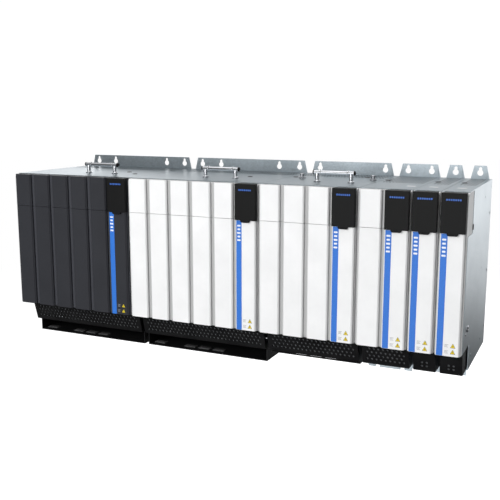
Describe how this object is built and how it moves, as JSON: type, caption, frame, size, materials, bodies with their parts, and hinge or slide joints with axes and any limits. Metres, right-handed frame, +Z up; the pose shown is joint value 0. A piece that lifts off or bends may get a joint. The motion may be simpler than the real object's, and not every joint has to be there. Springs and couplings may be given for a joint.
{
  "type": "servo drive line-up",
  "caption": "Wall-mounted row of servo drive modules of different widths, with ribbed fronts, hinged doors, bottom fans, lifting handles and cable trays.",
  "frame": {"origin": "on the mounting plane, at the middle of the row, level with the bottom of the module bodies", "axes": "+X along the row to the right seen from the front, -Y towards the front, +Z up"},
  "size_m": [0.999, 0.3, 0.405],
  "materials": {
    "zinc_sheet": "spangled galvanised sheet, satin",
    "white_plastic": "fine textured moulding",
    "grey_plastic": "fine textured moulding",
    "black_plastic": "fine textured moulding",
    "black_sheet": "powder coat, satin",
    "aluminium": "extruded, satin",
    "fan_plastic": "moulded, satin",
    "circuit_board": "lacquered glass laminate",
    "chrome": "polished",
    "copper": "tinned copper, satin",
    "insulator": "moulded polyester, satin",
    "steel": "zinc plated",
    "capacitor_sleeve": "shrink sleeve",
    "power_block": "moulded epoxy"
  },
  "bodies": {
    "body": {"bottom_guard_1": "black_sheet", "bottom_guard_2": "black_sheet", "bottom_guard_3": "black_sheet", "bottom_guard_4": "black_sheet", "bottom_guard_5": "black_sheet", "bottom_guard_6": "black_sheet", "bus_bars": "copper", "bus_capacitors": "capacitor_sleeve", "bus_standoffs": "insulator", "cable_tray_1": "black_sheet", "cable_tray_2": "black_sheet", "chassis_1": "zinc_sheet", "chassis_2": "zinc_sheet", "chassis_3": "zinc_sheet", "chassis_4": "zinc_sheet", "chassis_5": "zinc_sheet", "chassis_6": "zinc_sheet", "control_board_1": "circuit_board", "control_board_2": "circuit_board", "control_board_3": "circuit_board", "control_board_4": "circuit_board", "control_board_5": "circuit_board", "control_board_6": "circuit_board", "fan_frame_1": "fan_plastic", "fan_frame_2": "fan_plastic", "fan_frame_3": "fan_plastic", "fan_frame_4": "fan_plastic", "fan_frame_5": "fan_plastic", "fan_frame_6": "fan_plastic", "front_housing_1": "grey_plastic", "front_housing_2": "white_plastic", "front_housing_3": "white_plastic", "front_housing_4": "white_plastic", "front_housing_5": "white_plastic", "front_housing_6": "white_plastic", "heat_sink_1": "aluminium", "heat_sink_2": "aluminium", "heat_sink_3": "aluminium", "heat_sink_4": "aluminium", "heat_sink_5": "aluminium", "heat_sink_6": "aluminium", "lifting_handles": "chrome", "power_blocks": "power_block", "screws_and_studs": "steel"},
    "bus_door_1": {"bus_cover_1": "grey_plastic"},
    "bus_door_2": {"bus_cover_2": "white_plastic"},
    "bus_door_3": {"bus_cover_3": "white_plastic"},
    "bus_door_4": {"bus_cover_4": "white_plastic"},
    "fan_1": {"fan_rotor_1": "fan_plastic"},
    "fan_2": {"fan_rotor_2": "fan_plastic"},
    "fan_3": {"fan_rotor_3": "fan_plastic"},
    "fan_4": {"fan_rotor_4": "fan_plastic"},
    "fan_5": {"fan_rotor_5": "fan_plastic"},
    "fan_6": {"fan_rotor_6": "fan_plastic"},
    "keypad_door_1": {"keypad_cover_1": "black_plastic"},
    "keypad_door_2": {"keypad_cover_2": "black_plastic"},
    "keypad_door_3": {"keypad_cover_3": "black_plastic"},
    "keypad_door_4": {"keypad_cover_4": "black_plastic"},
    "keypad_door_5": {"keypad_cover_5": "black_plastic"},
    "keypad_door_6": {"keypad_cover_6": "black_plastic"}
  },
  "joints": [
    {"name": "keypad_door_1_hinge", "type": "hinge", "parent": "body", "child": "keypad_door_1", "pos_m": [-0.225, -0.284, 0.342], "axis": [-1, 0, 0], "range_deg": [0, 90]},
    {"name": "bus_door_1_hinge", "type": "hinge", "parent": "body", "child": "bus_door_1", "pos_m": [-0.375, -0.284, 0.342], "axis": [-1, 0, 0], "range_deg": [0, 90]},
    {"name": "fan_1_spin", "type": "hinge", "parent": "body", "child": "fan_1", "pos_m": [-0.35, -0.0655, 0.014], "axis": [0, 0, 1], "continuous": true},
    {"name": "keypad_door_2_hinge", "type": "hinge", "parent": "body", "child": "keypad_door_2", "pos_m": [0.075, -0.284, 0.342], "axis": [-1, 0, 0], "range_deg": [0, 90]},
    {"name": "bus_door_2_hinge", "type": "hinge", "parent": "body", "child": "bus_door_2", "pos_m": [-0.075, -0.284, 0.342], "axis": [-1, 0, 0], "range_deg": [0, 90]},
    {"name": "fan_2_spin", "type": "hinge", "parent": "body", "child": "fan_2", "pos_m": [-0.05, -0.0655, 0.014], "axis": [0, 0, 1], "continuous": true},
    {"name": "keypad_door_3_hinge", "type": "hinge", "parent": "body", "child": "keypad_door_3", "pos_m": [0.275, -0.284, 0.342], "axis": [-1, 0, 0], "range_deg": [0, 90]},
    {"name": "bus_door_3_hinge", "type": "hinge", "parent": "body", "child": "bus_door_3", "pos_m": [0.175, -0.284, 0.342], "axis": [-1, 0, 0], "range_deg": [0, 90]},
    {"name": "fan_3_spin", "type": "hinge", "parent": "body", "child": "fan_3", "pos_m": [0.2, -0.0655, 0.014], "axis": [0, 0, 1], "continuous": true},
    {"name": "keypad_door_4_hinge", "type": "hinge", "parent": "body", "child": "keypad_door_4", "pos_m": [0.375, -0.284, 0.342], "axis": [-1, 0, 0], "range_deg": [0, 90]},
    {"name": "bus_door_4_hinge", "type": "hinge", "parent": "body", "child": "bus_door_4", "pos_m": [0.325, -0.284, 0.342], "axis": [-1, 0, 0], "range_deg": [0, 90]},
    {"name": "fan_4_spin", "type": "hinge", "parent": "body", "child": "fan_4", "pos_m": [0.35, -0.0505, 0.014], "axis": [0, 0, 1], "continuous": true},
    {"name": "keypad_door_5_hinge", "type": "hinge", "parent": "body", "child": "keypad_door_5", "pos_m": [0.425, -0.284, 0.342], "axis": [-1, 0, 0], "range_deg": [0, 90]},
    {"name": "fan_5_spin", "type": "hinge", "parent": "body", "child": "fan_5", "pos_m": [0.425, -0.0255, 0.014], "axis": [0, 0, 1], "continuous": true},
    {"name": "keypad_door_6_hinge", "type": "hinge", "parent": "body", "child": "keypad_door_6", "pos_m": [0.475, -0.284, 0.342], "axis": [-1, 0, 0], "range_deg": [0, 90]},
    {"name": "fan_6_spin", "type": "hinge", "parent": "body", "child": "fan_6", "pos_m": [0.475, -0.0255, 0.014], "axis": [0, 0, 1], "continuous": true}
  ]
}
